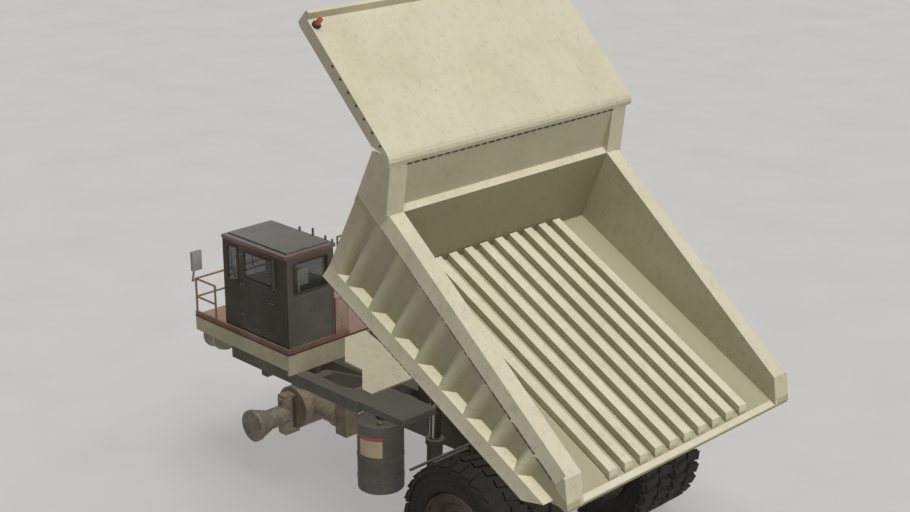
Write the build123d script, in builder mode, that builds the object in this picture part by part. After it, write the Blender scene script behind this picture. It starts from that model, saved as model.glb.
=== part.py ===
from build123d import *
from math import atan2, cos, sin, radians
import os

os.makedirs("parts", exist_ok=True)

# Rigid mining dump truck, bed raised, in mm. X forward, Y left, Z up, ground at Z = 0.

# Bed: width over the rails, floor, walls, canopy
bed_half = 4000
bed_tilt = 28.1
tail_x = -6850
tail_z = 3880
rail_w = 520
floor_l = 7060
floor_t = 150
rail_tail_u = 410
rail_tail_w = 556
rail_front_u = 7250
rail_front_w = 1960
rail_h = 370
wing_u = 8250
ledge_w = -135
sill_w = -455
sill_out = 350
sill_tail_u = 420
sill_front_u = 8020
wall_gap = 40
canopy_half = 4100
canopy_end_u = 11340
canopy_end_w = 4400
rib_n = 10
rib_pitch = 522
rib_w = 260
rib_h = 200
stay_n = 8
stay_pitch = 855
stay_u = 1113
stay_base = 500
stay_face = 110
lean = 90
nose_in = (7700, 3110)
nose_up = (7896, 3232)

# Chassis
hinge_x = -3350
hinge_z = 3300
rail_y0 = 750
rail_y1 = 1150
rear_axle_x = -3030
front_axle_x = 4750
axle_z = 1650
lug_n = 28
lug_h = 70
lug_w = 230
rim_r = 950
tyre_w = 1050
dual_y = (3070, 1950)
front_y = 3080
kingpin_y = 2170
pin_r = 110

# Deck and cab
deck_x0 = 2600
deck_x1 = 6450
deck_z = 4450
deck_half = 3700
cab_x0 = 2650
cab_x1 = 5200
cab_y0 = 2150
cab_y1 = 3640
cab_z1 = 6900
wall = 60

# Hoists
hoist_y = 2050
pin_lo = (-850, 1200)
pin_hi = (-950, 5900)

inner = bed_half - rail_w
tilt = radians(bed_tilt)
bed_side = Plane(origin=(tail_x, 0, tail_z), x_dir=(cos(tilt), 0, sin(tilt)), z_dir=(0, -1, 0))


bed_across = Plane(origin=(tail_x, 0, tail_z), x_dir=(0, 1, 0), z_dir=(cos(tilt), 0, sin(tilt)))


def to_bed(x, z):
    dx = x - tail_x
    dz = z - tail_z
    return (dx * cos(tilt) + dz * sin(tilt), -dx * sin(tilt) + dz * cos(tilt))


def bed_at(y):
    return bed_side.offset(-y)


def side_at(y):
    return Plane.XZ.offset(-y)


hinge_u, hinge_w = to_bed(hinge_x, hinge_z)
hoist_u, hoist_w = to_bed(pin_hi[0], pin_hi[1])

# Bed floor: plate, ribs on top, bolsters, stringers and hinge ears below
bolster_u = [500 + 870 * i for i in range(8)]
with BuildPart() as bed_floor:
    with BuildSketch(bed_at(inner)):
        with BuildLine():
            Polyline((0, 0), (0, -90), (120, -floor_t), (floor_l, -floor_t), (floor_l, 0), close=True)
        make_face()
    extrude(amount=2 * inner)
    for i in range(rib_n):
        y = (i - (rib_n - 1) / 2) * rib_pitch
        with BuildSketch(bed_at(y + rib_w / 2)):
            with BuildLine():
                Polyline((180, 0), (300, rib_h), (floor_l - 5, rib_h), (floor_l - 5, 0), close=True)
            make_face()
        extrude(amount=rib_w)
    for u in bolster_u:
        with BuildSketch(bed_at(inner)):
            with BuildLine():
                Polyline((u - 150, -floor_t), (u - 150, -420), (u + 150, -420), (u + 150, -floor_t), close=True)
            make_face()
        extrude(amount=2 * inner)
    for y in (1050, -480):
        with BuildSketch(bed_at(y)):
            with BuildLine():
                Polyline((500, -floor_t), (1500, -1000), (6900, -1300), (6900, -floor_t), close=True)
            make_face()
        extrude(amount=570)
    for y in (730, -480):
        with BuildSketch(bed_at(y)):
            with BuildLine():
                Polyline(
                    (hinge_u - 900, -700), (hinge_u - 260, hinge_w), (hinge_u, hinge_w - 260),
                    (hinge_u + 260, hinge_w), (hinge_u + 900, -700), close=True,
                )
            make_face()
            with Locations((hinge_u, hinge_w)):
                Circle(260)
        extrude(amount=250)
    with BuildSketch(side_at(1230)):
        with Locations((hinge_x, hinge_z)):
            Circle(pin_r)
    extrude(amount=2460)
    for y in (hoist_y + 300, hoist_y - 180, -hoist_y + 300, -hoist_y - 180):
        with BuildSketch(bed_at(y)):
            with BuildLine():
                Polyline(
                    (hoist_u - 420, -floor_t), (hoist_u - 170, hoist_w - 60), (hoist_u - 90, hoist_w - 160),
                    (hoist_u + 90, hoist_w - 160), (hoist_u + 170, hoist_w - 60), (hoist_u + 420, -floor_t),
                    close=True,
                )
            make_face()
        extrude(amount=120)
bed_floor.part.label = "bed_floor"
export_step(bed_floor.part, "parts/bed_floor.step")

# Bed side: box wall, top rail, sill that stands out, tail post, tapered stays, box wing in front
slope = (rail_front_w - rail_tail_w) / (rail_front_u - rail_tail_u)
rail_angle = atan2(rail_front_w - rail_tail_w, rail_front_u - rail_tail_u)
wing_low = 1590


def rail_top(u):
    return rail_tail_w + (u - rail_tail_u) * slope


u_dir = (cos(tilt), 0, sin(tilt))
w_dir = (-sin(tilt), 0, cos(tilt))
wall_y = bed_half - wall_gap
sill_half = bed_half + sill_out
rail_start = bed_side.from_local_coords((rail_tail_u, rail_tail_w, 0))
rail_across = Plane(
    origin=rail_start, x_dir=(0, 1, 0), z_dir=(cos(tilt + rail_angle), 0, sin(tilt + rail_angle)),
)
with BuildPart() as bed_side_left:
    with BuildSketch(bed_at(wall_y)):
        with BuildLine():
            Polyline(
                (0, -90), (0, 0), (rail_tail_u, rail_tail_w), (wing_u, rail_top(wing_u)), (wing_u, wing_low),
                (sill_front_u, ledge_w), (sill_front_u, sill_w), (sill_tail_u + 450, sill_w),
                (250, -floor_t), close=True,
            )
        make_face()
    extrude(amount=wall_y - inner)
    with BuildSketch(bed_at(bed_half)):
        with BuildLine():
            Polyline(
                (rail_tail_u * 0.34, rail_tail_w * 0.34), (rail_tail_u, rail_tail_w),
                (wing_u, rail_top(wing_u)), (wing_u, rail_top(wing_u) - rail_h), close=True,
            )
        make_face()
    extrude(amount=rail_w)
    with BuildSketch(bed_at(bed_half)):
        with BuildLine():
            Polyline((0, -90), (0, 0), (rail_tail_u, rail_tail_w), (620, rail_tail_w), (420, -90), close=True)
        make_face()
    extrude(amount=rail_w)
    with BuildSketch(bed_at(sill_half)):
        with BuildLine():
            Polyline(
                (sill_tail_u, ledge_w), (sill_front_u, ledge_w), (sill_front_u, sill_w),
                (sill_tail_u + 450, sill_w), close=True,
            )
        make_face()
    extrude(amount=sill_half - wall_y)
    # outer faces of the sill and of the rail lean in towards their tops
    with BuildSketch(bed_across.offset(sill_tail_u - 10)):
        with BuildLine():
            Polyline(
                (sill_half + 1, ledge_w + 1), (sill_half - lean, ledge_w + 1), (sill_half - lean, ledge_w),
                (sill_half + 1, sill_w), close=True,
            )
        make_face()
    extrude(amount=sill_front_u - sill_tail_u + 20, mode=Mode.SUBTRACT)
    with BuildSketch(rail_across.offset(60)):
        with BuildLine():
            Polyline(
                (bed_half + 1, 1), (bed_half - lean, 1), (bed_half - lean, 0),
                (bed_half + 1, -rail_h * cos(rail_angle)), close=True,
            )
        make_face()
    extrude(amount=(rail_front_u - rail_tail_u) / cos(rail_angle) - 60, mode=Mode.SUBTRACT)
    with BuildSketch(bed_at(bed_half)):
        with BuildLine():
            Polyline(
                (7300, wing_low), (7300, 1900), (rail_front_u, rail_front_w), nose_in, nose_up,
                (8300, 3000), (wing_u, wing_low), close=True,
            )
        make_face()
    extrude(amount=rail_w)
    # each stay is deep at the sill and runs out at the rail; the last one closes the front
    for i in range(stay_n + 1):
        closing = i == stay_n
        foot_u = sill_front_u - stay_base if closing else stay_u + i * stay_pitch
        top_u = wing_u - stay_base if closing else foot_u
        end_x = 0 if closing else (stay_base - stay_face) / 2
        for u, w, depth in (
            (foot_u, ledge_w - 10, sill_half - lean - wall_y + 10),
            (top_u, rail_top(foot_u) - rail_h + 40, 30),
        ):
            corner = bed_side.from_local_coords((u, w, -wall_y + 10))
            with BuildSketch(Plane(origin=corner, x_dir=u_dir, z_dir=w_dir)):
                with BuildLine():
                    Polyline(
                        (0, 0), ((stay_base - stay_face) / 2, depth), (stay_base - end_x, depth),
                        (stay_base, 0), close=True,
                    )
                make_face()
        loft(ruled=True)
bed_side_left.part.label = "bed_side_left"
export_step(bed_side_left.part, "parts/bed_side_left.step")

with BuildPart() as bed_side_right:
    add(bed_side_left.part.mirror(Plane.XZ))
bed_side_right.part.label = "bed_side_right"
export_step(bed_side_right.part, "parts/bed_side_right.step")

# Front wall with its ledge, the riser above it and stiffeners in front
with BuildPart() as bed_front_wall:
    with BuildSketch(bed_at(inner)):
        with BuildLine():
            Polyline(
                (floor_l, -floor_t), (floor_l, 0), (rail_front_u, rail_front_w), (7480, rail_top(7480)),
                (7480, -floor_t), close=True,
            )
        make_face()
    extrude(amount=2 * inner)
    with BuildSketch(bed_at(inner)):
        with BuildLine():
            Polyline(
                (7440, rail_top(7440)), nose_in, nose_up, (7740, 2900), (7560, rail_top(7560)), close=True,
            )
        make_face()
    extrude(amount=2 * inner)
    for i in range(7):
        with BuildSketch(bed_at(-2700 + 900 * i + 110)):
            with BuildLine():
                Polyline(
                    (7480, -floor_t), (7480, rail_front_w), (7600, rail_front_w + 60), (7730, 2800),
                    (7900, 2950), (7900, 1500), (7650, -floor_t), close=True,
                )
            make_face()
        extrude(amount=220)
bed_front_wall.part.label = "bed_front_wall"
export_step(bed_front_wall.part, "parts/bed_front_wall.step")

# Canopy over the cab: plate, side skirts, front lip, ribs below
cx0, cw0 = 7720, 3300
cx1, cw1 = canopy_end_u, canopy_end_w
cs = (cw1 - cw0) / (cx1 - cx0)
with BuildPart() as bed_canopy:
    with BuildSketch(bed_at(canopy_half)):
        with BuildLine():
            Polyline(
                (cx1, cw1), (cx0 + 140, cw0 + 42), (cx0 + 50, cw0 + 6), (cx0 - 20, cw0 - 48),
                (cx0 - 65, cw0 - 120), (cx0 - 80, cw0 - 210), nose_in, nose_up, (cx1 + 36, cw1 - 120),
                close=True,
            )
        make_face()
    extrude(amount=2 * canopy_half)
    for y in (canopy_half, -canopy_half + 100, 2100, 700, -600, -2000):
        with BuildSketch(bed_at(y)):
            with BuildLine():
                Polyline(
                    (cx0 + 190, cw0 - 40), (cx1 + 34, cw1 - 110), (cx1 + 90, cw1 - 310),
                    (cx0 + 560, cw0 - 310 + 560 * cs), close=True,
                )
            make_face()
        extrude(amount=100)
    with BuildSketch(bed_at(canopy_half)):
        with BuildLine():
            Polyline(
                (cx1 - 60, cw1 - 18), (cx1 - 40, cw1 + 150), (cx1 + 70, cw1 + 150), (cx1 + 180, cw1 - 240),
                (cx1 + 90, cw1 - 310), (cx1 + 20, cw1 - 120), close=True,
            )
        make_face()
    extrude(amount=2 * canopy_half)
bed_canopy.part.label = "bed_canopy"
export_step(bed_canopy.part, "parts/bed_canopy.step")

canopy_angle = tilt + atan2(cw1 - cw0, cx1 - cx0)
along = (cos(canopy_angle), 0, sin(canopy_angle))
upright = (-sin(canopy_angle), 0, cos(canopy_angle))
with BuildPart() as marker_lamps:
    for y in (3960, -3960):
        seat = bed_side.from_local_coords((cx1 - 230, cw0 + (cx1 - 230 - cx0) * cs, -y))
        for r, h0, h in ((85, 0, 60), (65, 60, 170)):
            with BuildSketch(Plane(origin=seat, x_dir=along, z_dir=upright).offset(h0 + 0.3)):
                Circle(r)
            extrude(amount=h)
marker_lamps.part.label = "marker_lamps"
export_step(marker_lamps.part, "parts/marker_lamps.step")

# Frame: two rails with hinge eyes, cross tubes between them, hoist yokes, outriggers and deck posts
with BuildPart() as main_frame:
    for y in (rail_y1, -rail_y0):
        with BuildSketch(side_at(y)):
            with BuildLine():
                Polyline(
                    (-3750, 2900), (-3500, 2750), (-2200, 2400), (-1200, 2150), (5900, 2000), (6350, 2200),
                    (6350, 2900), (5800, 3100), (2500, 3100), (2300, 3300), (650, 3300), (650, 3640),
                    (350, 3676), (350, 3300), (-2500, 3300), (-3050, 3560), (-3650, 3560), (-3750, 3300),
                    close=True,
                )
            make_face()
            with Locations((hinge_x, hinge_z)):
                Circle(pin_r + 0.3, mode=Mode.SUBTRACT)
        extrude(amount=rail_y1 - rail_y0)
    for s in (1, -1):
        with BuildSketch(Plane.XY.offset(2560)):
            with Locations((-3130, s * 950)):
                Rectangle(380, 380)
        extrude(amount=240)
main_frame.part.label = "main_frame"
export_step(main_frame.part, "parts/main_frame.step")

cross_tubes = [
    # x, z, radius
    (-1900, 2750, 220), (700, 2650, 220), (2500, 2600, 240), (6080, 2500, 240),
]
with BuildPart() as frame_cross:
    for x, z, r in cross_tubes:
        with BuildSketch(side_at(rail_y0)):
            with Locations((x, z)):
                Circle(r)
        extrude(amount=2 * rail_y0)
    with BuildSketch(Plane.YZ.offset(-1429.7)):
        with Locations((0, 1950)):
            Rectangle(2 * rail_y0, 900)
    extrude(amount=180)
frame_cross.part.label = "frame_cross"
export_step(frame_cross.part, "parts/frame_cross.step")

with BuildPart() as hoist_yokes:
    for s in (1, -1):
        with BuildSketch(side_at(s * (rail_y1 + 590) + 590)):
            with Locations((-1190, 2200)):
                Rectangle(220, 320)
        extrude(amount=1180)
        for y in (hoist_y - 255, hoist_y + 255):
            with BuildSketch(side_at(s * y + 25)):
                with BuildLine():
                    Polyline(
                        (-1300, 2360), (-1080, 2360), (-1060, 1700), (-720, 1330), (-720, 1080),
                        (-980, 1080), (-1300, 1700), close=True,
                    )
                make_face()
                with Locations(pin_lo):
                    Circle(58.3, mode=Mode.SUBTRACT)
            extrude(amount=50)
hoist_yokes.part.label = "hoist_yokes"
export_step(hoist_yokes.part, "parts/hoist_yokes.step")

with BuildPart() as outriggers:
    for s in (1, -1):
        for x0, x1 in ((650, 950), (2300, 2600)):
            with BuildSketch(Plane.YZ.offset(x0)):
                with BuildLine():
                    Polyline(
                        (s * rail_y1, 2760), (s * rail_y1, 3100), (s * 2500, 3700), (s * 3140, 3700),
                        (s * 3140, 3560), (s * 2600, 3430), (s * 1300, 2760), close=True,
                    )
                make_face()
            extrude(amount=x1 - x0)
        with BuildSketch(Plane.YZ.offset(4450)):
            with BuildLine():
                Polyline(
                    (s * rail_y1, 2700), (s * rail_y1, 4330), (s * 1400, 4330), (s * 1950, 3950),
                    (s * 1950, 3560), (s * 1400, 3560), (s * 1300, 3300), (s * 1300, 2700), close=True,
                )
            make_face()
        extrude(amount=450)
        for x, fall in ((2750, 0), (6100, 200 / 550)):
            with BuildSketch(side_at(s * 950 + 140)):
                with BuildLine():
                    Polyline(
                        (x - 140, 3100 - (x - 140 - 5800) * fall), (x - 140, deck_z - 120),
                        (x + 140, deck_z - 120), (x + 140, 3100 - (x + 140 - 5800) * fall), close=True,
                    )
                make_face()
            extrude(amount=280)
        with BuildSketch(side_at(s * rail_y1)):
            with Locations((-1550, 2730)):
                Circle(35)
        extrude(amount=-s * (3500 - rail_y1))
outriggers.part.label = "outriggers"
export_step(outriggers.part, "parts/outriggers.step")

# Rear axle housing with spindles and its nose
with BuildPart() as rear_axle:
    with BuildSketch(Plane(origin=(rear_axle_x, 0, axle_z), x_dir=(0, 1, 0), z_dir=(1, 0, 0))):
        with BuildLine():
            Polyline(
                (-3300, 0), (-3300, 299.7), (-1500, 299.7), (-1380, 420), (-700, 480), (-500, 640), (500, 640),
                (700, 480), (1380, 420), (1500, 299.7), (3300, 299.7), (3300, 0), close=True,
            )
        make_face()
    revolve(axis=Axis((rear_axle_x, 0, axle_z), (0, 1, 0)))
    with BuildSketch(Plane.YZ.offset(rear_axle_x + 300)):
        with Locations((0, axle_z)):
            Rectangle(900, 700)
    extrude(amount=1300, taper=8)
    for y in (950, -950):
        with BuildSketch(Plane.XY.offset(axle_z)):
            with Locations((-3130, y)):
                Rectangle(380, 380)
        extrude(amount=545)
rear_axle.part.label = "rear_axle"
export_step(rear_axle.part, "parts/rear_axle.step")

# Front trailing arms with their round ends, then the struts of both axles
with BuildPart() as front_arms:
    for s in (1, -1):
        with BuildSketch(Plane.YZ.offset(2950)):
            with Locations((s * 1375, 1800)):
                Rectangle(450, 900)
        extrude(amount=420)
        with BuildSketch(Plane.YZ.offset(3370)):
            with Locations((s * 1451, 1800)):
                Circle(300)
        extrude(amount=110)
        with BuildSketch(Plane.YZ.offset(3480)):
            with Locations((s * 1451, 1800)):
                Circle(260)
        extrude(amount=700)
        with BuildSketch(side_at(1960 if s > 0 else -1180)):
            with Locations((front_axle_x - 50, 1780)):
                Circle(580)
        extrude(amount=780)
        with BuildSketch(Plane.XY.offset(2200)):
            with Locations((front_axle_x - 75, s * 1640)):
                Rectangle(400, 380)
        extrude(amount=220)
        for z in (axle_z + 480.3, axle_z - 560.3):
            with BuildSketch(Plane.XY.offset(z)):
                with Locations((front_axle_x, s * 2060)):
                    Rectangle(300, 480)
            extrude(amount=80)
        with BuildSketch(Plane.YZ.offset(2990)):
            with BuildLine():
                Polyline(
                    (s * rail_y1, 2060), (s * rail_y1, 2700), (s * 1300, 2700), (s * 1600, 2240),
                    (s * 1600, 2060), close=True,
                )
            make_face()
        extrude(amount=340)
front_arms.part.label = "front_arms"
export_step(front_arms.part, "parts/front_arms.step")

with BuildPart() as struts:
    for s in (1, -1):
        with BuildSketch(Plane.XY.offset(2200)):
            with Locations((-3130, s * 950)):
                Circle(170)
        extrude(amount=360)
        with BuildSketch(Plane.XY.offset(2420)):
            with Locations((front_axle_x - 75, s * 1640)):
                Circle(150)
        extrude(amount=1140)
        with BuildSketch(Plane.XY.offset(2900)):
            with Locations((front_axle_x - 75, s * 1640)):
                Circle(210)
        extrude(amount=660)
struts.part.label = "struts"
export_step(struts.part, "parts/struts.step")

# Knuckles: housing beside the arm and a spindle out to the hub
for s, name in ((1, "left"), (-1, "right")):
    with BuildPart() as knuckle:
        with BuildSketch(Plane.XY.offset(axle_z - 480)):
            with Locations((front_axle_x, s * kingpin_y)):
                Circle(200)
        extrude(amount=960)
        with BuildSketch(side_at(2780 if s > 0 else -2200)):
            with Locations((front_axle_x, axle_z)):
                Circle(265)
        extrude(amount=580)
        with BuildSketch(side_at(3050 if s > 0 else -2700)):
            with Locations((front_axle_x, axle_z)):
                Circle(150)
        extrude(amount=350)
    knuckle.part.label = "knuckle_" + name
    export_step(knuckle.part, "parts/knuckle_" + name + ".step")

    with BuildPart() as hub:
        with BuildSketch(Plane(origin=(front_axle_x, 0, axle_z), x_dir=(0, s, 0), z_dir=(s, 0, 0))):
            with BuildLine():
                Polyline(
                    (2790, 150.3), (2790, 280), (3200, 420), (3200, 430), (3300, 430), (3300, 0),
                    (3060, 0), (3060, 150.3), close=True,
                )
            make_face()
        revolve(axis=Axis((front_axle_x, 0, axle_z), (0, 1, 0)))
        with BuildSketch(side_at(3310 if s > 0 else -3230)):
            with Locations((front_axle_x, axle_z)):
                with PolarLocations(360, 12):
                    Circle(18)
        extrude(amount=80, mode=Mode.SUBTRACT)
    hub.part.label = "hub_front_" + name
    export_step(hub.part, "parts/hub_front_" + name + ".step")

# Wheels: a dished rim and a faceted tyre, twins at the rear
rim_profile = [
    # r, y from the tyre's middle
    (430.3, 190), (700, 230), (860, 330), (860, -400), (900, -430), (rim_r, -430), (rim_r, 430), (890, 430),
    (860, 400), (800, 400), (660, 300), (430.3, 270),
]
with BuildPart() as rim_front_right:
    with BuildSketch(Plane(origin=(front_axle_x, -front_y, axle_z), x_dir=(1, 0, 0), z_dir=(0, 0, 1))):
        with BuildLine():
            Polyline(*[(r, -y) for r, y in rim_profile], close=True)
        make_face()
    revolve(axis=Axis((front_axle_x, 0, axle_z), (0, 1, 0)))
rim_front_right.part.label = "rim_front_right"
export_step(rim_front_right.part, "parts/rim_front_right.step")


facet = 360 / lug_n
tread_r = (axle_z - lug_h) / cos(radians(facet / 2))
bore_r = (rim_r + 0.3) / cos(radians(facet / 2))
for name, x, ys in (
    ("tyre_front_right", front_axle_x, (-front_y,)),
    ("tyres_rear_left", rear_axle_x, dual_y),
    ("tyres_rear_right", rear_axle_x, (-dual_y[0], -dual_y[1])),
):
    with BuildPart() as tyre:
        for y in ys:
            for start, depth, slant in ((tyre_w / 2 - 150, tyre_w - 300, 0), (150 - tyre_w / 2, 150, 40)):
                with BuildSketch(side_at(y + start)):
                    with Locations((x, axle_z)):
                        RegularPolygon(tread_r, lug_n, rotation=facet / 2 + 90)
                extrude(amount=depth, taper=slant)
            with BuildSketch(side_at(y + tyre_w / 2 - 150)):
                with Locations((x, axle_z)):
                    RegularPolygon(tread_r, lug_n, rotation=facet / 2 + 90)
            extrude(amount=-150, taper=40)
            for y0, y1 in ((y + tyre_w / 2 - 150, y + 60), (y - 60, y - tyre_w / 2 + 150)):
                with BuildSketch(side_at(y0)):
                    with Locations((x, axle_z)):
                        with PolarLocations(axle_z - lug_h / 2 - 2, lug_n, start_angle=90):
                            Rectangle(lug_h + 4, lug_w)
                extrude(amount=y0 - y1)
            with BuildSketch(side_at(y + tyre_w / 2 + 5)):
                with Locations((x, axle_z)):
                    RegularPolygon(bore_r, lug_n, rotation=facet / 2 + 90)
            extrude(amount=tyre_w + 10, mode=Mode.SUBTRACT)
    tyre.part.label = name
    export_step(tyre.part, "parts/" + name + ".step")

for s, name in ((1, "left"), (-1, "right")):
    with BuildPart() as rim:
        with BuildSketch(Plane(origin=(rear_axle_x, 0, axle_z), x_dir=(0, s, 0), z_dir=(s, 0, 0))):
            with BuildLine():
                Polyline(
                    (1480, 860), (1480, rim_r), (3560, rim_r), (3560, 880), (3480, 860), (3340, 640),
                    (3430, 560), (3430, 0), (3320, 0), (3320, 300), (2000, 300), (2000, 420), (2900, 520),
                    (3180, 760), (3100, 860), close=True,
                )
            make_face()
        revolve(axis=Axis((rear_axle_x, 0, axle_z), (0, 1, 0)))
    rim.part.label = "rims_rear_" + name
    export_step(rim.part, "parts/rims_rear_" + name + ".step")

# Hoists: barrels with trunnion stubs, rods with an eye
axis_dx = pin_hi[0] - pin_lo[0]
axis_dz = pin_hi[1] - pin_lo[1]
reach = (axis_dx ** 2 + axis_dz ** 2) ** 0.5
gland = 1640
for s, name in ((1, "left"), (-1, "right")):
    line = Plane(
        origin=(pin_lo[0], s * hoist_y, pin_lo[1]), x_dir=(0, 1, 0), z_dir=(axis_dx / reach, 0, axis_dz / reach),
    )
    with BuildPart() as barrel:
        with BuildSketch(line.offset(-450)):
            Circle(195)
        extrude(amount=450 + gland)
        with BuildSketch(line.offset(gland - 130)):
            Circle(235)
        extrude(amount=130)
        with BuildSketch(line.offset(-420)):
            Circle(142.3)
        extrude(amount=420 + gland, mode=Mode.SUBTRACT)
        with BuildSketch(side_at(s * hoist_y + 310)):
            with Locations(pin_lo):
                Circle(58)
        extrude(amount=620)
        with BuildSketch(side_at(s * hoist_y + 150)):
            with Locations(pin_lo):
                Circle(60)
        extrude(amount=300, mode=Mode.SUBTRACT)
    barrel.part.label = "hoist_barrel_" + name
    export_step(barrel.part, "parts/hoist_barrel_" + name + ".step")
    with BuildPart() as rod:
        with BuildSketch(line.offset(gland - 250)):
            Circle(142)
        extrude(amount=reach - gland + 250 - 100)
        with BuildSketch(side_at(s * hoist_y + 110)):
            with Locations(pin_hi):
                Circle(150)
                Circle(80, mode=Mode.SUBTRACT)
        extrude(amount=220)
    rod.part.label = "hoist_rod_" + name
    export_step(rod.part, "parts/hoist_rod_" + name + ".step")

# Deck with its fascias
with BuildPart() as deck:
    with BuildSketch(Plane.XY.offset(deck_z - 120)):
        with Locations(((deck_x0 + deck_x1) / 2, 0)):
            Rectangle(deck_x1 - deck_x0, 2 * deck_half)
    extrude(amount=120)
    for y in (deck_half, -deck_half + 60):
        with BuildSketch(side_at(y)):
            with BuildLine():
                Polyline((deck_x0, deck_z - 10), (deck_x1, deck_z - 10), (deck_x1, 4030), (deck_x0, 3990), close=True)
            make_face()
        extrude(amount=60)
    with BuildSketch(Plane.YZ.offset(deck_x1 - 60)):
        with Locations((0, 4240)):
            Rectangle(2 * deck_half, 400)
    extrude(amount=60)
    for s in (1, -1):
        with BuildSketch(Plane.YZ.offset(deck_x0)):
            with BuildLine():
                Polyline(
                    (s * deck_half, deck_z - 10), (s * deck_half, 3870), (s * 1150, 3870),
                    (s * 1150, deck_z - 10), close=True,
                )
            make_face()
        extrude(amount=60)
deck.part.label = "deck"
export_step(deck.part, "parts/deck.step")

with BuildPart() as deck_beams:
    for s in (1, -1):
        with BuildSketch(Plane.XY.offset(3560)):
            with Locations((2750, s * 3320)):
                Rectangle(4900, 360)
        extrude(amount=300)
        with BuildSketch(Plane.XY.offset(3700)):
            with Locations((-150, s * 2900)):
                Rectangle(2200, 1100)
        extrude(amount=160)
deck_beams.part.label = "deck_beams"
export_step(deck_beams.part, "parts/deck_beams.step")

# Sloping cream plate behind the deck
plate_a = radians(12.2)
slope_plane = Plane(origin=(350, 0, 3861), x_dir=(cos(plate_a), 0, sin(plate_a)), z_dir=(-sin(plate_a), 0, cos(plate_a)))
plate_end = (deck_x0 - 0.3 - 350) / cos(plate_a)
with BuildPart() as rear_plates:
    for s in (1, -1):
        with BuildSketch(slope_plane):
            with BuildLine():
                Polyline(
                    (plate_end, s * 1880), (1450, s * 2600), (930, s * 2480), (280, s * 3050), (0, s * 3000),
                    (0, s * 1400), (plate_end, s * 1170), close=True,
                )
            make_face()
        extrude(amount=50)
rear_plates.part.label = "rear_plates"
export_step(rear_plates.part, "parts/rear_plates.step")

# Side tanks
with BuildPart() as side_tanks:
    for s in (1, -1):
        with BuildSketch(Plane.XY.offset(1660)):
            with Locations((-70, s * 3090)):
                Circle(570)
        extrude(amount=1760)
        with BuildSketch(Plane.XY.offset(3420)):
            with Locations((-70, s * 2900)):
                Circle(260)
        extrude(amount=280)
side_tanks.part.label = "side_tanks"
export_step(side_tanks.part, "parts/side_tanks.step")

# Engine block, radiator, bumper with its ladder
with BuildPart() as engine_block:
    with BuildSketch(Plane.XY.offset(2400)):
        with Locations((4350, 0)):
            Rectangle(2700, 2 * rail_y0 - 0.6)
    extrude(amount=1700)
engine_block.part.label = "engine_block"
export_step(engine_block.part, "parts/engine_block.step")

with BuildPart() as radiator:
    with BuildSketch(Plane.YZ.offset(6350)):
        with Locations((0, 3345)):
            Rectangle(2500, 1390)
    extrude(amount=220)
    for i in range(12):
        with BuildSketch(Plane.YZ.offset(6530)):
            with Locations((0, 2790 + 105 * i)):
                Rectangle(2300, 55)
        extrude(amount=40, mode=Mode.SUBTRACT)
radiator.part.label = "radiator"
export_step(radiator.part, "parts/radiator.step")

with BuildPart() as bumper:
    with BuildSketch(Plane.XY.offset(2000)):
        with Locations((6475, 0)):
            Rectangle(250, 3000)
    extrude(amount=650)
    for y in (-1300, -1900):
        with BuildSketch(Plane.XY.offset(700)):
            with Locations((6775, y)):
                Rectangle(60, 50)
        extrude(amount=3740)
    for i in range(11):
        with BuildSketch(Plane.XY.offset(760 + 335 * i)):
            with Locations((6775, -1600)):
                Rectangle(150, 600)
        extrude(amount=40)
    for z, y in ((2100, -1400), (4380, -1600)):
        with BuildSketch(Plane.XY.offset(z)):
            with Locations((6600, y)):
                Rectangle(300, 80)
        extrude(amount=60)
    with BuildSketch(side_at(50)):
        with Locations((6690, 2300)):
            Rectangle(190, 240)
            Circle(55, mode=Mode.SUBTRACT)
    extrude(amount=100)
bumper.part.label = "bumper"
export_step(bumper.part, "parts/bumper.step")

with BuildPart() as headlamps:
    for y in (1750, -1750):
        with BuildSketch(Plane.YZ.offset(6450)):
            for dy in (-200, 200):
                with Locations((y + dy, 4200)):
                    Circle(120)
        extrude(amount=90)
headlamps.part.label = "headlamps"
export_step(headlamps.part, "parts/headlamps.step")

with BuildPart() as corner_boxes:
    for y in (3150, -3150):
        with BuildSketch(Plane.XY.offset(3420)):
            with Locations((6000, y)):
                Rectangle(780, 900)
        extrude(amount=910)
corner_boxes.part.label = "corner_boxes"
export_step(corner_boxes.part, "parts/corner_boxes.step")

# Toe rails, hand rails and posts on the deck
with BuildPart() as deck_rails:
    for s in (1, -1):
        with BuildSketch(Plane.XY.offset(deck_z)):
            with Locations(((deck_x0 + deck_x1) / 2, s * (deck_half - 25))):
                Rectangle(deck_x1 - deck_x0, 50)
            with Locations((deck_x0 + 20, s * 2700)):
                Rectangle(40, 2000)
        extrude(amount=110)
        for x, y in ((5600, 3660), (6420, 3660), (6420, 2400), (6420, 1200)):
            with BuildSketch(Plane.XY.offset(deck_z)):
                with Locations((x, s * y)):
                    Circle(28)
            extrude(amount=1000)
        for z in (500, 1000):
            with BuildSketch(Plane.YZ.offset(5600)):
                with Locations((s * 3660, deck_z + z)):
                    Circle(26)
            extrude(amount=820)
            with BuildSketch(side_at(3660 if s > 0 else -1200)):
                with Locations((6420, deck_z + z)):
                    Circle(26)
            extrude(amount=2460)
deck_rails.part.label = "deck_rails"
export_step(deck_rails.part, "parts/deck_rails.step")

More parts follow.
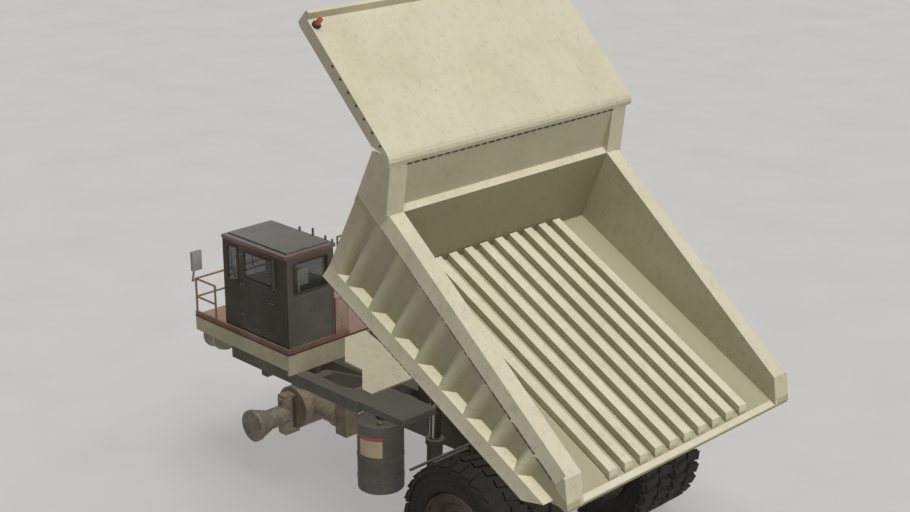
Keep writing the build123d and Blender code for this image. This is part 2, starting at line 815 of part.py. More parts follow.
# Cab: hollow shell with window and door openings, roof, glass, door, seat
win = [
    # face, a0, a1, z0, z1 (a is Y on front and rear, X on the sides)
    ("rear", 2350, 3420, 5950, 6740),
    ("front", 2270, 3520, 5620, 6760),
    ("left", 4610, 5040, 5800, 6740),
    ("right", 3000, 4850, 5950, 6740),
]
door_hinge_x = 4490
door_hinge_y = cab_y1 + 22
door_x0 = 3080
door_x1 = 4480
door_z0 = 4640
door_z1 = 6790
with BuildPart() as cab_shell:
    with BuildSketch(Plane.XY.offset(deck_z)):
        with Locations(((cab_x0 + cab_x1) / 2, (cab_y0 + cab_y1) / 2)):
            Rectangle(cab_x1 - cab_x0, cab_y1 - cab_y0)
    extrude(amount=cab_z1 - deck_z)
    with BuildSketch(Plane.XY.offset(deck_z + 120)):
        with Locations(((cab_x0 + cab_x1) / 2, (cab_y0 + cab_y1) / 2)):
            Rectangle(cab_x1 - cab_x0 - 2 * wall, cab_y1 - cab_y0 - 2 * wall)
    extrude(amount=cab_z1 - deck_z - 120, mode=Mode.SUBTRACT)
    for face, a0, a1, z0, z1 in win + [("left", door_x0, door_x1, door_z0, door_z1)]:
        if face == "rear" or face == "front":
            cut_plane = Plane.YZ.offset(cab_x0 - 10 if face == "rear" else cab_x1 - wall - 10)
            cut = wall + 20
        else:
            cut_plane = side_at(cab_y1 + 10 if face == "left" else cab_y0 + wall + 10)
            cut = wall + 20
        with BuildSketch(cut_plane):
            with Locations(((a0 + a1) / 2, (z0 + z1) / 2)):
                Rectangle(a1 - a0, z1 - z0)
        extrude(amount=cut, mode=Mode.SUBTRACT)
cab_shell.part.label = "cab_shell"
export_step(cab_shell.part, "parts/cab_shell.step")

with BuildPart() as cab_glass:
    for face, a0, a1, z0, z1 in win:
        if face == "rear":
            pane = Plane.YZ.offset(cab_x0 + 25)
        elif face == "front":
            pane = Plane.YZ.offset(cab_x1 - 35)
        elif face == "left":
            pane = side_at(cab_y1 - 25)
        else:
            pane = side_at(cab_y0 + 35)
        with BuildSketch(pane):
            with Locations(((a0 + a1) / 2, (z0 + z1) / 2)):
                Rectangle(a1 - a0, z1 - z0)
        extrude(amount=10)
cab_glass.part.label = "cab_glass"
export_step(cab_glass.part, "parts/cab_glass.step")

with BuildPart() as cab_roof:
    with BuildSketch(Plane.XY.offset(cab_z1)):
        with Locations((3885, 2900)):
            Rectangle(2530, 1600)
    extrude(amount=90)
    with BuildSketch(Plane.XY.offset(cab_z1 + 90)):
        with Locations((3885, 2900)):
            Rectangle(2300, 1340)
    extrude(amount=50)
    for x, h in ((3900, 150), (3380, 230), (2900, 150), (2640, 120)):
        with BuildSketch(Plane.XY.offset(cab_z1 + 80)):
            with Locations((x, 2180)):
                Circle(30)
        extrude(amount=h)
cab_roof.part.label = "cab_roof"
export_step(cab_roof.part, "parts/cab_roof.step")

with BuildPart() as cab_door:
    with BuildSketch(side_at(cab_y1)):
        with Locations(((door_x0 + door_x1) / 2, (door_z0 + door_z1) / 2)):
            Rectangle(door_x1 - door_x0 - 20, door_z1 - door_z0 - 20)
        with Locations(((door_x0 + door_x1) / 2, 6360)):
            Rectangle(1150, 720, mode=Mode.SUBTRACT)
    extrude(amount=50)
    with BuildSketch(side_at(cab_y1 + 60)):
        with Locations((3160, 6380)):
            Rectangle(50, 760)
    extrude(amount=60)
    for z in (4900, 5700, 6500):
        with BuildSketch(Plane.XY.offset(z)):
            with Locations((door_hinge_x, door_hinge_y)):
                Circle(21.7)
            with Locations((door_hinge_x - 60, door_hinge_y - 6)):
                Rectangle(120, 32)
        extrude(amount=120)
cab_door.part.label = "cab_door"
export_step(cab_door.part, "parts/cab_door.step")

with BuildPart() as door_glass:
    with BuildSketch(side_at(cab_y1 - 20)):
        with Locations(((door_x0 + door_x1) / 2, 6360)):
            Rectangle(1150, 720)
    extrude(amount=10)
door_glass.part.label = "door_glass"
export_step(door_glass.part, "parts/door_glass.step")

with BuildPart() as cab_interior:
    with BuildSketch(Plane.XY.offset(deck_z + 120)):
        with Locations((3700, 2900)):
            Rectangle(420, 420)
    extrude(amount=430)
    with BuildSketch(Plane.XY.offset(deck_z + 550)):
        with Locations((3750, 2900)):
            Rectangle(560, 580)
    extrude(amount=140)
    with BuildSketch(side_at(2900 + 270)):
        with BuildLine():
            Polyline((3470, 5130), (3600, 5130), (3480, 6050), (3360, 6050), close=True)
        make_face()
    extrude(amount=540)
    with BuildSketch(side_at(3480)):
        with BuildLine():
            Polyline((4850, 4570), (5080, 4570), (5080, 5560), (4800, 5600), (4700, 5480), close=True)
        make_face()
    extrude(amount=1160)
cab_interior.part.label = "cab_interior"
export_step(cab_interior.part, "parts/cab_interior.step")

with BuildPart() as cabinets:
    for x, y, w, d, h in ((3150, 1850, 900, 440, 1050), (4300, -2500, 2600, 1900, 1700)):
        with BuildSketch(Plane.XY.offset(deck_z)):
            with Locations((x, y)):
                Rectangle(w, d)
        extrude(amount=h)
cabinets.part.label = "cabinets"
export_step(cabinets.part, "parts/cabinets.step")

with BuildPart() as mirrors:
    for s in (1, -1):
        with BuildSketch(side_at(s * 3760 + 20)):
            with BuildLine():
                Polyline((6400, 5400), (6440, 5400), (6300, 6000), (6260, 6000), close=True)
            make_face()
        extrude(amount=40)
        with BuildSketch(Plane.YZ.offset(6180)):
            with Locations((s * 3760, 6020)):
                Rectangle(300, 520)
        extrude(amount=80)
        with BuildSketch(side_at(3780 if s > 0 else -3688)):
            with Locations((6420, 5420)):
                Rectangle(40, 60)
        extrude(amount=92)
mirrors.part.label = "mirrors"
export_step(mirrors.part, "parts/mirrors.step")
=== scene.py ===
import math

import bmesh
import bpy
from mathutils import Matrix, Vector


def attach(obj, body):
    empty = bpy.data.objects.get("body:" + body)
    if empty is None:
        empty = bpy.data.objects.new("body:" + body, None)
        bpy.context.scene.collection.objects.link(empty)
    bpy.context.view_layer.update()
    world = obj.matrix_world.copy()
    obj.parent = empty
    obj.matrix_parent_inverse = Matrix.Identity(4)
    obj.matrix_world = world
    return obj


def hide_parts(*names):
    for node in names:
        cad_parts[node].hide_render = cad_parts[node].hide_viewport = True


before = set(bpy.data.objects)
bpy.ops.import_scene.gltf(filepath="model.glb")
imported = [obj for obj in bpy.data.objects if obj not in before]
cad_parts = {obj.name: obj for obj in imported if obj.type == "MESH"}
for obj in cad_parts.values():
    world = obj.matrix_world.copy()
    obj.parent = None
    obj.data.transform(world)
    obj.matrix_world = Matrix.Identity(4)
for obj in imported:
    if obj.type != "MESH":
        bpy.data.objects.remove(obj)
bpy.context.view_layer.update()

TILT = math.radians(28.1)
TAIL = Vector((-6.85, 0.0, 3.88))
AXLE_Z = 1.65
REAR_X, FRONT_X = -3.03, 4.75
RAIL_TAIL, RAIL_FRONT = (0.41, 0.556), (7.25, 1.96)
RAIL_H, WALL_Y, SILL_Y = 0.37, 3.96, 4.35
NOSE = (7.70, 3.11)
AHEAD = Vector((math.cos(TILT), 0, math.sin(TILT)))
LEFT = Vector((0, 1, 0))
ABOVE = Vector((-math.sin(TILT), 0, math.cos(TILT)))
X, Z = Vector((1, 0, 0)), Vector((0, 0, 1))


def on_bed(u, y, w):
    """A point of the raised bed: metres along its floor from the tail, to the left, and off the floor."""
    return TAIL + AHEAD * u + LEFT * y + ABOVE * w


# Colours and materials

def colour(code):
    """sRGB hex to the linear values that sockets take."""
    out = []
    for i in (1, 3, 5):
        v = int(code[i:i + 2], 16) / 255
        out.append(v / 12.92 if v <= 0.04045 else ((v + 0.055) / 1.055) ** 2.4)
    return (*out, 1.0)


class Nodes:
    """A short way to lay out one material's node tree."""

    def __init__(self, name):
        self.mat = bpy.data.materials.new(name)
        self.mat.use_nodes = True
        self.tree = self.mat.node_tree
        self.shader = self.tree.nodes["Principled BSDF"]

    def add(self, kind, **values):
        node = self.tree.nodes.new(kind)
        for key, value in values.items():
            setattr(node, key, value)
        return node

    def join(self, a, b):
        self.tree.links.new(a, b)

    def place(self, turn=0.0, stretch=(1, 1, 1)):
        """The piece's own coordinates, turned about Y and stretched."""
        coord = self.add("ShaderNodeTexCoord")
        mapping = self.add("ShaderNodeMapping")
        mapping.inputs["Rotation"].default_value = (0, turn, 0)
        mapping.inputs["Scale"].default_value = stretch
        self.join(coord.outputs["Object"], mapping.inputs["Vector"])
        return mapping.outputs["Vector"]

    def noise(self, where, scale, detail=6.0, rough=0.6, low=0.4, high=0.6):
        noise = self.add("ShaderNodeTexNoise")
        noise.inputs["Scale"].default_value = scale
        noise.inputs["Detail"].default_value = detail
        noise.inputs["Roughness"].default_value = rough
        self.join(where, noise.inputs["Vector"])
        return self.ramp(noise.outputs["Fac"], low, high)

    def times(self, a, amount):
        node = self.add("ShaderNodeMath", operation="MULTIPLY")
        self.join(a, node.inputs[0])
        if isinstance(amount, (int, float)):
            node.inputs[1].default_value = amount
        else:
            self.join(amount, node.inputs[1])
        return node.outputs[0]

    def mix(self, fac, a, b):
        node = self.add("ShaderNodeMix", data_type="RGBA")
        self.join(fac, node.inputs["Factor"])
        for value, socket in ((a, node.inputs[6]), (b, node.inputs[7])):
            if isinstance(value, str):
                socket.default_value = colour(value)
            else:
                self.join(value, socket)
        return node.outputs[2]

    def part_of(self, vector, axis):
        """One of X, Y and Z of a vector."""
        split = self.add("ShaderNodeSeparateXYZ")
        self.join(vector, split.inputs[0])
        return split.outputs[axis]

    def plus(self, a, amount):
        node = self.add("ShaderNodeMath", operation="ADD")
        self.join(a, node.inputs[0])
        node.inputs[1].default_value = amount
        return node.outputs[0]

    def size_of(self, a):
        node = self.add("ShaderNodeMath", operation="ABSOLUTE")
        self.join(a, node.inputs[0])
        return node.outputs[0]

    def ramp(self, a, low, high):
        """0 at low, 1 at high; low may be the larger."""
        node = self.add("ShaderNodeMapRange")
        node.inputs["From Min"].default_value = low
        node.inputs["From Max"].default_value = high
        self.join(a, node.inputs["Value"])
        return node.outputs["Result"]

    def upward(self, low=0.2, high=0.95):
        """1 where the surface looks up."""
        geo = self.add("ShaderNodeNewGeometry")
        return self.ramp(self.part_of(geo.outputs["Normal"], "Z"), low, high)

    def sideways(self, low=0.6, high=0.9):
        """1 where the surface looks left or right."""
        geo = self.add("ShaderNodeNewGeometry")
        return self.ramp(self.size_of(self.part_of(geo.outputs["Normal"], "Y")), low, high)

    def bump(self, height, strength=0.2, distance=0.01):
        node = self.add("ShaderNodeBump")
        node.inputs["Strength"].default_value = strength
        node.inputs["Distance"].default_value = distance
        self.join(height, node.inputs["Height"])
        self.join(node.outputs["Normal"], self.shader.inputs["Normal"])

    def finish(self, base, rough=0.6, metal=0.0, spread=None):
        """Set colour, roughness (evenly, or up to 0.25 more where spread is 1) and metal."""
        self.join(base, self.shader.inputs["Base Color"])
        self.shader.inputs["Metallic"].default_value = metal
        if spread is None:
            self.shader.inputs["Roughness"].default_value = rough
        else:
            ramp = self.add("ShaderNodeMapRange")
            ramp.inputs["To Min"].default_value = rough
            ramp.inputs["To Max"].default_value = min(1.0, rough + 0.25)
            self.join(spread, ramp.inputs["Value"])
            self.join(ramp.outputs["Result"], self.shader.inputs["Roughness"])
        return self.mat


def weathered(name, base, shade, stain, dust, turn=0.0, rough=0.55, dusty=0.5, stained=0.35, films_and_painted_shade=()):
    """Old machine paint: large fading, fine stains, run marks and dust on what faces up.

    Each film is (mask, colour), where the mask is a function of the nodes; the films on the bed's walls and floor and
    on the cab's sides are painted shade, the deck's is a colour of its own."""
    n = Nodes(name)
    flat = n.place(turn)
    runs = n.place(turn, (5.0, 5.0, 0.5))
    fade = n.noise(flat, 0.7, 5.0, 0.6, 0.35, 0.65)
    fine = n.noise(flat, 5.5, 9.0, 0.72, 0.52, 0.68)
    run = n.noise(runs, 1.2, 6.0, 0.6, 0.5, 0.72)
    grit = n.noise(flat, 42.0, 4.0, 0.8, 0.35, 0.7)
    body = n.mix(fade, base, shade)
    body = n.mix(n.times(fine, stained), body, stain)
    body = n.mix(n.times(run, stained * 0.6), body, shade)
    body = n.mix(n.times(n.upward(), n.times(grit, dusty)), body, dust)
    for mask, film in films_and_painted_shade:
        body = n.mix(mask(n), body, n.mix(n.times(fine, stained), film, stain))
    n.bump(n.times(grit, fine), 0.25, 0.004)
    return n.finish(body, rough, 0.0, fade)


def tyre_rubber():
    n = Nodes("tyre rubber")
    flat = n.place()
    fade = n.noise(flat, 1.6, 6.0, 0.65, 0.35, 0.65)
    grit = n.noise(flat, 30.0, 5.0, 0.75, 0.4, 0.65)
    body = n.mix(fade, "#1E1B15", "#29251D")
    body = n.mix(n.times(grit, 0.28), body, "#463F31")
    n.bump(grit, 0.35, 0.004)
    return n.finish(body, 0.82)


def greasy_cast(name, base, shade, dark_tone):
    n = Nodes(name)
    flat = n.place()
    fade = n.noise(flat, 1.8, 7.0, 0.65, 0.35, 0.65)
    fine = n.noise(flat, 9.0, 8.0, 0.75, 0.45, 0.65)
    body = n.mix(fade, base, shade)
    body = n.mix(n.times(fine, 0.55), body, dark_tone)
    n.bump(fine, 0.35, 0.006)
    return n.finish(body, 0.62, 0.25, fade)


def clear_glass(name, tint, smeared):
    n = Nodes(name)
    flat = n.place()
    smear = n.noise(flat, 3.0, 5.0, 0.6, 0.35, 0.75)
    body = n.mix(smear, tint, smeared)
    n.finish(body, 0.08)
    n.shader.inputs["Alpha"].default_value = 0.45
    n.shader.inputs["Specular IOR Level"].default_value = 0.6
    return n.mat


def lamp_lens(name, base, deep):
    n = Nodes(name)
    flat = n.place()
    body = n.mix(n.noise(flat, 25.0, 2.0, 0.5, 0.3, 0.7), base, deep)
    n.shader.inputs["Coat Weight"].default_value = 0.6
    return n.finish(body, 0.18)


def polished_rod():
    n = Nodes("polished rod")
    flat = n.place()
    body = n.mix(n.noise(flat, 8.0, 6.0, 0.7, 0.45, 0.7), "#A7A59C", "#6C675B")
    return n.finish(body, 0.25, 0.9)


def side_wall_painted_shade(n):
    """Painted shade on the upright faces of the bed's outer walls, below the rails."""
    turn = TILT + math.atan((RAIL_FRONT[1] - RAIL_TAIL[1]) / (RAIL_FRONT[0] - RAIL_TAIL[0]))
    edge = on_bed(RAIL_TAIL[0], 0, RAIL_TAIL[1] - RAIL_H)
    level = edge.z * math.cos(turn) - edge.x * math.sin(turn)
    below = n.ramp(n.part_of(n.place(turn), "Z"), level + 0.01, level - 0.02)
    out = n.size_of(n.part_of(n.place(), "Y"))
    band = n.times(n.ramp(out, 3.52, 3.60), n.ramp(out, 4.34, 4.05))
    return n.times(n.times(below, band), n.upward(0.8, 0.3))


def height_off_floor(n, full, none):
    """1 up to the height named full over the bed's floor, 0 from the one named none."""
    level = TAIL.z * math.cos(TILT) - TAIL.x * math.sin(TILT)
    return n.ramp(n.part_of(n.place(TILT), "Z"), level + none, level + full)


def floor_painted_shade(n):
    """Painted shade on the floor plate between its ribs, fading up their sides."""
    return height_off_floor(n, 0.02, 0.11)


def front_wall_painted_shade(n):
    """Painted shade on the front wall's upright faces, full up to its ledge; the riser above gets less of it."""
    ledge, above_ledge = RAIL_FRONT[1], 0.4
    below = n.times(height_off_floor(n, ledge, ledge + 0.06), 1 - above_ledge)
    return n.times(n.plus(below, above_ledge), n.upward(0.75, 0.35))


def on_top(n):
    return n.upward(0.6, 0.9)


cream = weathered("bed cream paint", "#D3CCB2", "#C6BFA2", "#968F77", "#D6D0B9", turn=TILT)
# Bed side walls: their film is painted shade, darkening the upright faces below the rails.
cream_wall_painted_shade = weathered("bed wall paint", "#D3CCB2", "#C6BFA2", "#8D866F", "#D6D0B9", turn=TILT,
                       films_and_painted_shade=((side_wall_painted_shade, "#ADA789"),))
# Front wall: its film is painted shade on the upright faces, lighter on the riser above the ledge.
cream_front_painted_shade = weathered("bed front wall paint", "#D3CCB2", "#C6BFA2", "#8D866F", "#D6D0B9", turn=TILT,
                        films_and_painted_shade=((front_wall_painted_shade, "#A29B7F"),))
# Bed floor: its film is painted shade between the ribs and up their sides.
cream_floor_painted_shade = weathered("bed floor paint", "#D8D1B8", "#C9C2A6", "#968F77", "#D8D2BC", turn=TILT,
                        films_and_painted_shade=((floor_painted_shade, "#A69F83"),))
cream_deck = weathered("deck cream paint", "#BEB79B", "#ACA58A", "#7A7460", "#C6BFA6",
                       films_and_painted_shade=((on_top, "#A5897A"),))
cream_plate = weathered("deck plate paint", "#CFC8AE", "#C0B99E", "#857E69", "#D2CCB5")
olive_grey = weathered("lamp housing paint", "#8C8A72", "#7A7862", "#4E4C3F", "#A3A08A", dusty=0.4)
dark_grey = weathered("dark grey paint", "#66635A", "#57544B", "#3B3933", "#858072", dusty=0.35)
# Cab paint: its film is painted shade, darkening the faces that look left or right.
cab_grey_side_shade = weathered("cab paint", "#66635A", "#57544B", "#3B3933", "#858072", dusty=0.35,
                     films_and_painted_shade=((Nodes.sideways, "#413C31"),))
frame_grey = weathered("frame paint", "#5E5B50", "#4E4B42", "#33312B", "#7E7767", dusty=0.4)
roof_grey = weathered("roof paint", "#7E7B77", "#716E6A", "#575450", "#8A867F", dusty=0.35)
mirror_grey = weathered("mirror paint", "#A5A298", "#96938A", "#6A675E", "#AFACA2", dusty=0.2)
# Mirror faces: a flat pale grey, a painted reflection.
mirror_painted_reflection = lamp_lens("mirror face", "#A9ABA4", "#9A9C96")
rail_red = weathered("rail paint", "#8C6B5C", "#75574A", "#4A3C33", "#9C8576", dusty=0.35)
cabinet_tan = weathered("cabinet paint", "#B89A8C", "#A88C7F", "#6E5F56", "#BCA698", dusty=0.35)
plate_tan = weathered("blank plate paint", "#C9B392", "#B8A384", "#7A6C58", "#CBB99C", dusty=0.2)
gasket = weathered("window gasket", "#4A3A30", "#3E3028", "#2B2622", "#5C5248", dusty=0.2)
# Dark colour for the beads under the rails and sills and along the canopy's nose, painted shadow lines; the canopy's
# edge bolts take the same dark colour.
dark_tone = weathered("grime in the gaps", "#4C483A", "#403C30", "#2E2B24", "#5A5546", dusty=0.1)
rim_brown = greasy_cast("rim paint", "#5E5146", "#4A4037", "#322C26")
cast = greasy_cast("greasy casting", "#8A7F6F", "#746B5D", "#4A433A")
# Front arms: lighter than the other castings, painted light standing in for light on their shaded drums.
arm_cast_painted_light = greasy_cast("arm casting", "#9C9180", "#857968", "#665040")
hub_bare = greasy_cast("bare hub", "#968F80", "#7F786A", "#575047")
steel = polished_rod()
rubber = tyre_rubber()
glass = clear_glass("window glass", "#43443E", "#515249")
amber = lamp_lens("amber lens", "#C7642A", "#9A4418")
clear_lens = lamp_lens("clear lens", "#D8D8D0", "#A8A8A0")
worn_plate = weathered("worn tail plate", "#D6CFB8", "#CBC4AA", "#A39C86", "#DAD4C2", turn=TILT, rough=0.4)
rust_brown = weathered("rusty edge", "#5E4436", "#4C382D", "#33271F", "#6E5546", dusty=0.2)
plate_red = weathered("faded red band", "#B8604A", "#A05040", "#6B4A3D", "#B08370", dusty=0.1)
shade_cream = weathered("cream cab lining", "#D8D5C8", "#CBC8BA", "#9A978A", "#DCD9CC", dusty=0.1)
cab_black = greasy_cast("cab lining", "#3A3835", "#2F2D2A", "#1F1E1C")

NODE_PAINT = {
    "bed_floor": cream_floor_painted_shade, "bed_side_left": cream_wall_painted_shade, "bed_side_right": cream_wall_painted_shade,
    "bed_front_wall": cream_front_painted_shade,
    "bed_canopy": cream, "marker_lamps": amber, "main_frame": frame_grey, "frame_cross": frame_grey,
    "hoist_yokes": frame_grey, "outriggers": frame_grey, "rear_axle": cast, "struts": cast,
    "front_arms": arm_cast_painted_light, "knuckle_left": hub_bare,
    "knuckle_right": cast, "hub_front_left": hub_bare, "hub_front_right": cast,
    "rim_front_right": rim_brown, "tyre_front_right": rubber, "tyres_rear_left": rubber,
    "tyres_rear_right": rubber, "rims_rear_left": rim_brown, "rims_rear_right": rim_brown,
    "hoist_barrel_left": frame_grey, "hoist_barrel_right": frame_grey, "hoist_rod_left": steel,
    "hoist_rod_right": steel, "deck": cream_deck, "deck_beams": dark_grey, "rear_plates": cream_plate,
    "side_tanks": dark_grey, "engine_block": frame_grey, "radiator": frame_grey, "bumper": frame_grey,
    "headlamps": clear_lens, "corner_boxes": olive_grey, "deck_rails": rail_red,
    "cab_shell": cab_grey_side_shade, "cab_glass": glass, "cab_roof": roof_grey, "cab_door": cab_grey_side_shade,
    "door_glass": glass, "cab_interior": cab_black, "cabinets": cabinet_tan, "mirrors": mirror_grey,
}


def paint_nodes():
    for node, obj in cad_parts.items():
        obj.data.materials.clear()
        obj.data.materials.append(NODE_PAINT.get(node, frame_grey))


# Building blocks for the pieces that dress the frame

class Shape:
    """Gathers blocks, bands and swept bars into one mesh that rides on one body."""

    def __init__(self):
        self.bm = bmesh.new()

    def block(self, middle, size, axes=(X, LEFT, Z), edge=0.006):
        """An oriented block with rounded edges."""
        made = bmesh.ops.create_cube(self.bm, size=1.0)["verts"]
        for v in made:
            at = v.co.copy()
            v.co = middle + sum((axes[i] * at[i] * size[i] for i in range(3)), Vector())
        faces = {f for v in made for f in v.link_faces}
        if edge:
            edges = {e for f in faces for e in f.edges}
            bmesh.ops.bevel(self.bm, geom=list(edges), offset=edge, segments=2, affect="EDGES", profile=0.6)

    def lathe(self, profile, centre, axis, steps=72):
        """Turn a closed outline of (radius, height along the axis) about the axis."""
        side = axis.orthogonal().normalized()
        other = axis.cross(side)
        rings = []
        for i in range(steps):
            a = 2 * math.pi * i / steps
            out = side * math.cos(a) + other * math.sin(a)
            rings.append([self.bm.verts.new(centre + out * r + axis * h) for r, h in profile])
        n = len(profile)
        for i in range(steps):
            now, nxt = rings[i], rings[(i + 1) % steps]
            for j in range(n):
                k = (j + 1) % n
                self.bm.faces.new((now[j], now[k], nxt[k], nxt[j]))

    def sweep(self, points, outline, up=Z, closed=False):
        """Carry an outline of (side, up) along a run of points."""
        count = len(points)
        rings = []
        for i, at in enumerate(points):
            back = points[(i - 1) % count] if closed or i else at
            ahead = points[(i + 1) % count] if closed or i < count - 1 else at
            run_in = (at - back).normalized() if at != back else (ahead - at).normalized()
            run_out = (ahead - at).normalized() if at != ahead else run_in
            way = (run_in + run_out).normalized()
            side = way.cross(up).normalized()
            stretch = 1.0 / max(0.3, way.dot(run_out))
            rings.append([self.bm.verts.new(at + side * (a * stretch) + up * b) for a, b in outline])
        n = len(outline)
        for i in range(count if closed else count - 1):
            now, nxt = rings[i], rings[(i + 1) % count]
            for j in range(n):
                k = (j + 1) % n
                self.bm.faces.new((now[j], now[k], nxt[k], nxt[j]))
        if not closed:
            self.bm.faces.new(rings[0])
            self.bm.faces.new(rings[-1][::-1])

    def bar(self, points, radius, sides=12):
        """A round bar along a run of points, its outline square to each stretch."""
        run = (points[1] - points[0]).normalized()
        up = run.orthogonal().normalized() if len(points) == 2 else None
        if up is None:
            up = (points[1] - points[0]).cross(points[2] - points[1]).normalized()
        ring = [(radius * math.cos(2 * math.pi * i / sides), radius * math.sin(2 * math.pi * i / sides))
                for i in range(sides)]
        self.sweep(points, ring, up)

    def piece(self, name, body, material, slot, smooth=True):
        bmesh.ops.recalc_face_normals(self.bm, faces=self.bm.faces[:])
        me = bpy.data.meshes.new(name)
        self.bm.to_mesh(me)
        self.bm.free()
        return dress(name, me, body, material, smooth)


def dress(name, me, body, material, smooth=True):
    obj = bpy.data.objects.new(name, me)
    bpy.context.collection.objects.link(obj)
    if material is not None:
        me.materials.clear()
        me.materials.append(material)
    if smooth:
        me.shade_smooth()
        me.set_sharp_from_angle(angle=math.radians(35))
    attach(obj, body)
    return obj


# Small things that repeat along a line, set out by Geometry Nodes

def bolt_head(tree):
    """A washer with a six-sided head."""
    joined = tree.nodes.new("GeometryNodeJoinGeometry")
    for sides, radius, depth, lift in ((16, 1.0, 0.3, 0.15), (6, 0.72, 0.9, 0.6)):
        can = tree.nodes.new("GeometryNodeMeshCylinder")
        can.inputs["Vertices"].default_value = sides
        can.inputs["Radius"].default_value = radius
        can.inputs["Depth"].default_value = depth
        move = tree.nodes.new("GeometryNodeTransform")
        move.inputs["Translation"].default_value = (0, 0, lift)
        tree.links.new(can.outputs["Mesh"], move.inputs["Geometry"])
        tree.links.new(move.outputs["Geometry"], joined.inputs["Geometry"])
    return joined.outputs["Geometry"]


def weld_bead(tree):
    """A short stretch of weld, lying along the line."""
    ball = tree.nodes.new("GeometryNodeMeshUVSphere")
    ball.inputs["Segments"].default_value = 10
    ball.inputs["Rings"].default_value = 6
    ball.inputs["Radius"].default_value = 1.0
    long = tree.nodes.new("GeometryNodeTransform")
    long.inputs["Scale"].default_value = (2.6, 0.55, 0.45)
    tree.links.new(ball.outputs["Mesh"], long.inputs["Geometry"])
    return long.outputs["Geometry"]


def pattern_tree(name, form):
    """Lines in, one form at every pitch along them out, its Z on the line's own up direction."""
    tree = bpy.data.node_groups.new(name, "GeometryNodeTree")
    face = tree.interface
    face.new_socket("Geometry", in_out="INPUT", socket_type="NodeSocketGeometry")
    for label, kind in (("Pitch", "Float"), ("Size", "Float"), ("Finish", "Material")):
        face.new_socket(label, in_out="INPUT", socket_type="NodeSocket" + kind)
    face.new_socket("Geometry", in_out="OUTPUT", socket_type="NodeSocketGeometry")
    new, link = tree.nodes.new, tree.links.new
    given, out = new("NodeGroupInput"), new("NodeGroupOutput")
    line, spaced = new("GeometryNodeMeshToCurve"), new("GeometryNodeResampleCurve")
    spaced.mode = "LENGTH"
    up = new("GeometryNodeInputNamedAttribute")
    up.data_type = "FLOAT_VECTOR"
    up.inputs["Name"].default_value = "up"
    run = new("GeometryNodeInputTangent")
    stand, turn = new("FunctionNodeAlignRotationToVector"), new("FunctionNodeAlignRotationToVector")
    stand.axis, turn.axis, turn.pivot_axis = "Z", "X", "Z"
    put, real = new("GeometryNodeInstanceOnPoints"), new("GeometryNodeRealizeInstances")
    paint = new("GeometryNodeSetMaterial")
    link(given.outputs["Geometry"], line.inputs["Mesh"])
    link(line.outputs["Curve"], spaced.inputs["Curve"])
    link(given.outputs["Pitch"], spaced.inputs["Length"])
    link(up.outputs["Attribute"], stand.inputs["Vector"])
    link(stand.outputs["Rotation"], turn.inputs["Rotation"])
    link(run.outputs["Tangent"], turn.inputs["Vector"])
    link(spaced.outputs["Curve"], put.inputs["Points"])
    link(form(tree), put.inputs["Instance"])
    link(turn.outputs["Rotation"], put.inputs["Rotation"])
    link(given.outputs["Size"], put.inputs["Scale"])
    link(put.outputs["Instances"], real.inputs["Geometry"])
    link(real.outputs["Geometry"], paint.inputs["Geometry"])
    link(given.outputs["Finish"], paint.inputs["Material"])
    link(paint.outputs["Geometry"], out.inputs["Geometry"])
    return tree


BOLTS = pattern_tree("bolts along lines", bolt_head)
WELDS = pattern_tree("welds along lines", weld_bead)


def along_lines(name, tree, lines, pitch, size, body, material):
    """Lines are (points, up direction, closed or not)."""
    me = bpy.data.meshes.new(name + " lines")
    points, edges, ups = [], [], []
    for line, up, closed in lines:
        first = len(points)
        points += [tuple(p) for p in line]
        ups += [tuple(up)] * len(line)
        edges += [(first + i, first + i + 1) for i in range(len(line) - 1)]
        if closed:
            edges.append((len(points) - 1, first))
    me.from_pydata(points, edges, [])
    attribute = me.attributes.new("up", "FLOAT_VECTOR", "POINT")
    attribute.data.foreach_set("vector", [c for up in ups for c in up])
    host = bpy.data.objects.new(name + " lines", me)
    bpy.context.collection.objects.link(host)
    grow = host.modifiers.new("pattern", "NODES")
    grow.node_group = tree
    values = {"Pitch": pitch, "Size": size, "Finish": material}
    for item in tree.interface.items_tree:
        if item.item_type == "SOCKET" and item.in_out == "INPUT" and item.name in values:
            grow[item.identifier] = values[item.name]
    deps = bpy.context.evaluated_depsgraph_get()
    made = bpy.data.meshes.new_from_object(host.evaluated_get(deps), depsgraph=deps)
    host.modifiers.clear()
    bpy.data.objects.remove(host)
    return dress(name, made, body, material, smooth=False)


def circle(centre, axis, radius, count):
    side = axis.orthogonal().normalized()
    other = axis.cross(side)
    turn = 2 * math.pi / count
    return [centre + (side * math.cos(i * turn) + other * math.sin(i * turn)) * radius for i in range(count)]


# Bed

SILL_UNDER_W = -0.463
RISER_U, RISER_FOOT_W = 7.44, 1.999
CANOPY_U, CANOPY_W, CANOPY_Y = (7.72, 11.34), (3.3, 4.4), 4.1
CANOPY_SLOPE = (CANOPY_W[1] - CANOPY_W[0]) / (CANOPY_U[1] - CANOPY_U[0])
CANOPY_AHEAD = (AHEAD + ABOVE * CANOPY_SLOPE).normalized()
CANOPY_ABOVE = (ABOVE - AHEAD * CANOPY_SLOPE).normalized()
RIB_COUNT, RIB_PITCH, RIB_HALF, RIB_ENDS = 10, 0.522, 0.13, (0.33, 7.04)


def rail_w(u):
    """Height of the top rail over the floor."""
    return RAIL_TAIL[1] + (u - RAIL_TAIL[0]) * (RAIL_FRONT[1] - RAIL_TAIL[1]) / (RAIL_FRONT[0] - RAIL_TAIL[0])


def on_canopy(u, y):
    """A point of the canopy's top."""
    return on_bed(u, y, CANOPY_W[0] + (u - CANOPY_U[0]) * CANOPY_SLOPE)


def bed_pieces():
    bed_welds_and_shadow_lines()
    canopy_bolts()
    floor_trim()
    canopy_trim()


